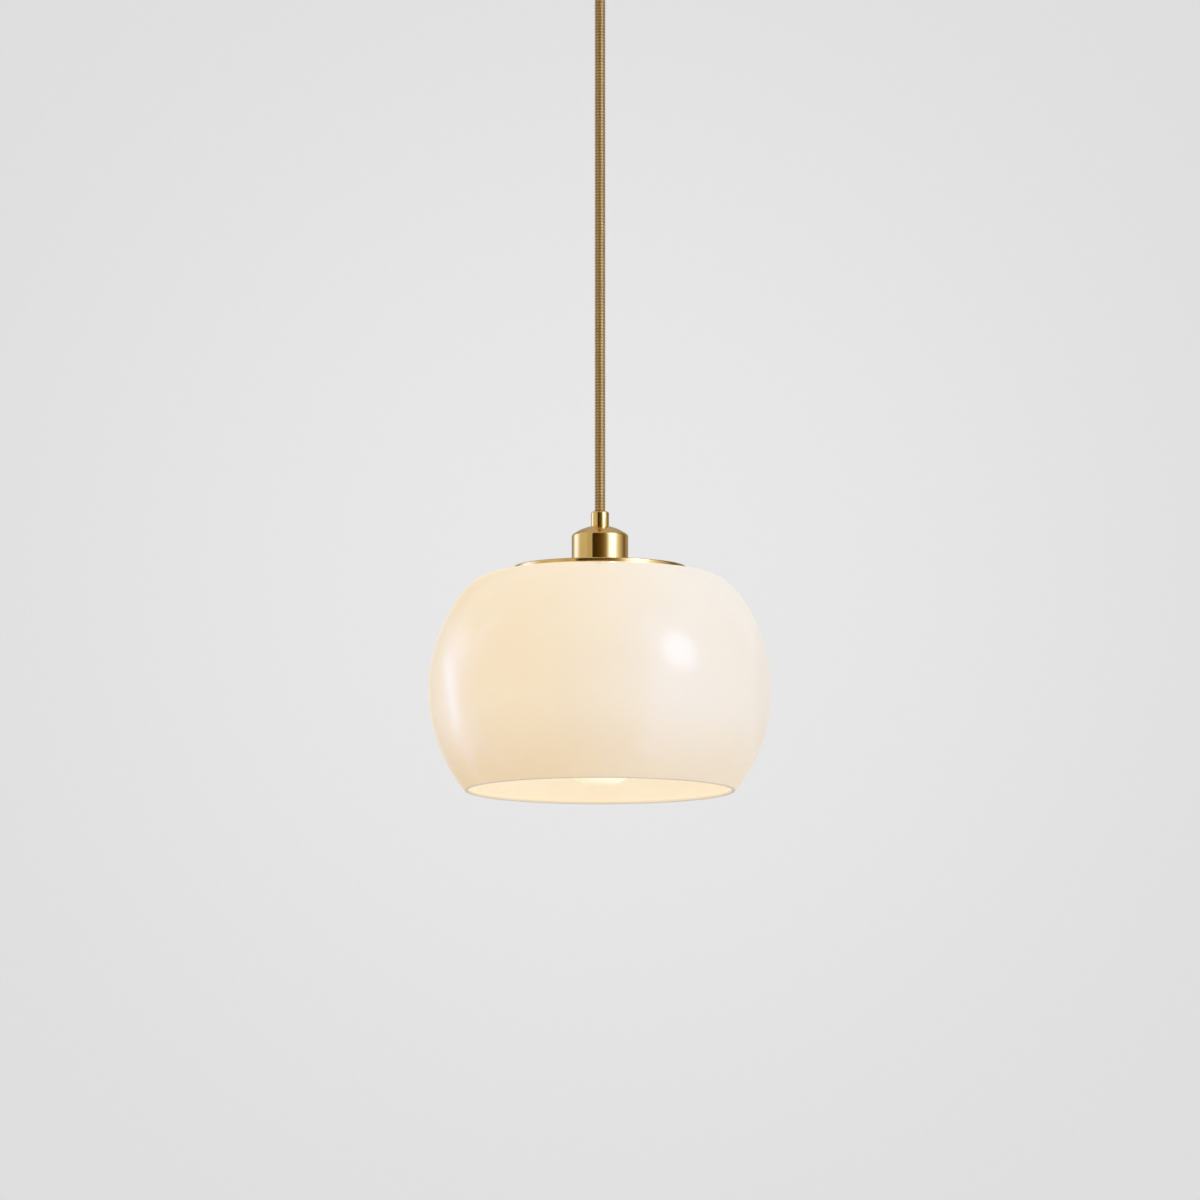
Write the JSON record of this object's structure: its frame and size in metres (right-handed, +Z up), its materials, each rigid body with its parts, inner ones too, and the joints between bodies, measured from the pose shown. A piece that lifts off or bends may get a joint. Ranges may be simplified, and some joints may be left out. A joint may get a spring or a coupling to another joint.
{
  "type": "pendant ceiling light",
  "caption": "Pendant light: a rounded opal glass shade, open below, under a brass disc and socket cup on a braided cord from a ceiling canopy, with a screw-in bulb.",
  "frame": {"origin": "the middle of the ceiling bracket's top face, on the ceiling", "axes": "+Z up into the ceiling; the light hangs towards -Z; +X along the bracket, through its slots; the side facing -Y is the front"},
  "size_m": [0.24, 0.24, 0.61],
  "materials": {
    "brass": "polished, lacquered",
    "raw_brass": "plain turned",
    "zinc_steel": "zinc plated",
    "steel": "bright",
    "opal_glass": "glossy opal white",
    "cord_fabric": "braided gold yarn",
    "block_plastic": "moulded",
    "core_brown": "insulation",
    "core_blue": "insulation",
    "core_green": "insulation, yellow stripe",
    "silicone": "translucent white",
    "porcelain": "white glaze",
    "diffuser": "frosted, lit",
    "bulb_white": "moulded white",
    "nickel": "nickel plated",
    "black_glass": "gloss black",
    "solder": "soldered",
    "board_aluminium": "white coated",
    "phosphor": "phosphor",
    "driver_board": "glass-epoxy board"
  },
  "bodies": {
    "ceiling_fitting": {"ceiling_bracket": "zinc_steel", "canopy": "brass", "canopy_screws": "brass", "canopy_grip": "brass", "canopy_grip_screw": "steel", "canopy_tube": "zinc_steel", "canopy_nut": "zinc_steel", "terminal_block": "block_plastic", "terminal_clamps": "raw_brass", "terminal_screws": "steel", "block_screw": "steel", "earth_screw": "steel", "earth_washer": "zinc_steel", "cord_top": "cord_fabric", "ceiling_core_live": "core_brown", "ceiling_core_neutral": "core_blue", "ceiling_core_earth": "core_green"},
    "cord_flex_top": {"cord_knuckle_top": "cord_fabric"},
    "hanging_cord": {"cord": "cord_fabric"},
    "cord_flex_low": {"cord_knuckle_low": "cord_fabric"},
    "lamp": {"lamp_grip": "brass", "lamp_grip_screw": "steel", "socket_cup": "brass", "cup_nut": "zinc_steel", "cover_disc": "brass", "threaded_tube": "zinc_steel", "glass_shade": "opal_glass", "upper_gasket": "silicone", "lower_gasket": "silicone", "glass_bush": "silicone", "clamp_plate": "zinc_steel", "spring_washer": "steel", "clamp_nut": "zinc_steel", "holder_dome": "porcelain", "entry_nut": "raw_brass", "holder_skirt": "porcelain", "holder_insert": "porcelain", "holder_terminals": "raw_brass", "holder_terminal_screws": "steel", "centre_contact": "raw_brass", "thread_shell": "raw_brass", "cord_tail": "cord_fabric", "holder_core_live": "core_brown", "holder_core_neutral": "core_blue", "holder_core_earth": "core_green", "earth_tag": "raw_brass"},
    "bulb_foot": {"bulb_tip": "solder"},
    "bulb": {"bulb_globe": "diffuser", "bulb_housing": "bulb_white", "bulb_cap": "nickel", "bulb_insulator": "black_glass", "led_board": "board_aluminium", "led_chips": "phosphor", "led_driver": "driver_board"}
  },
  "joints": [
    {"name": "swing_x", "type": "hinge", "parent": "ceiling_fitting", "child": "cord_flex_top", "pos_m": [0, 0, -0.037], "axis": [1, 0, 0], "range_deg": [-30, 30]},
    {"name": "swing_y", "type": "hinge", "parent": "cord_flex_top", "child": "hanging_cord", "pos_m": [0, 0, -0.037], "axis": [0, 1, 0], "range_deg": [-30, 30]},
    {"name": "tilt_x", "type": "hinge", "parent": "hanging_cord", "child": "cord_flex_low", "pos_m": [0, 0, -0.41358], "axis": [1, 0, 0], "range_deg": [-15, 15]},
    {"name": "tilt_y", "type": "hinge", "parent": "cord_flex_low", "child": "lamp", "pos_m": [0, 0, -0.41358], "axis": [0, 1, 0], "range_deg": [-15, 15]},
    {"name": "bulb_travel", "type": "slide", "parent": "lamp", "child": "bulb_foot", "axis": [0, 0, 1], "range_m": [-0.0129, 0]},
    {"name": "bulb_turn", "type": "hinge", "parent": "bulb_foot", "child": "bulb", "pos_m": [0, 0, -0.4994], "axis": [0, 0, 1], "range_deg": [-1260, 0]}
  ],
  "couplings": [
    {"joint": "bulb_travel", "follows": "bulb_turn", "m_per_rad": 0.0005775}
  ]
}
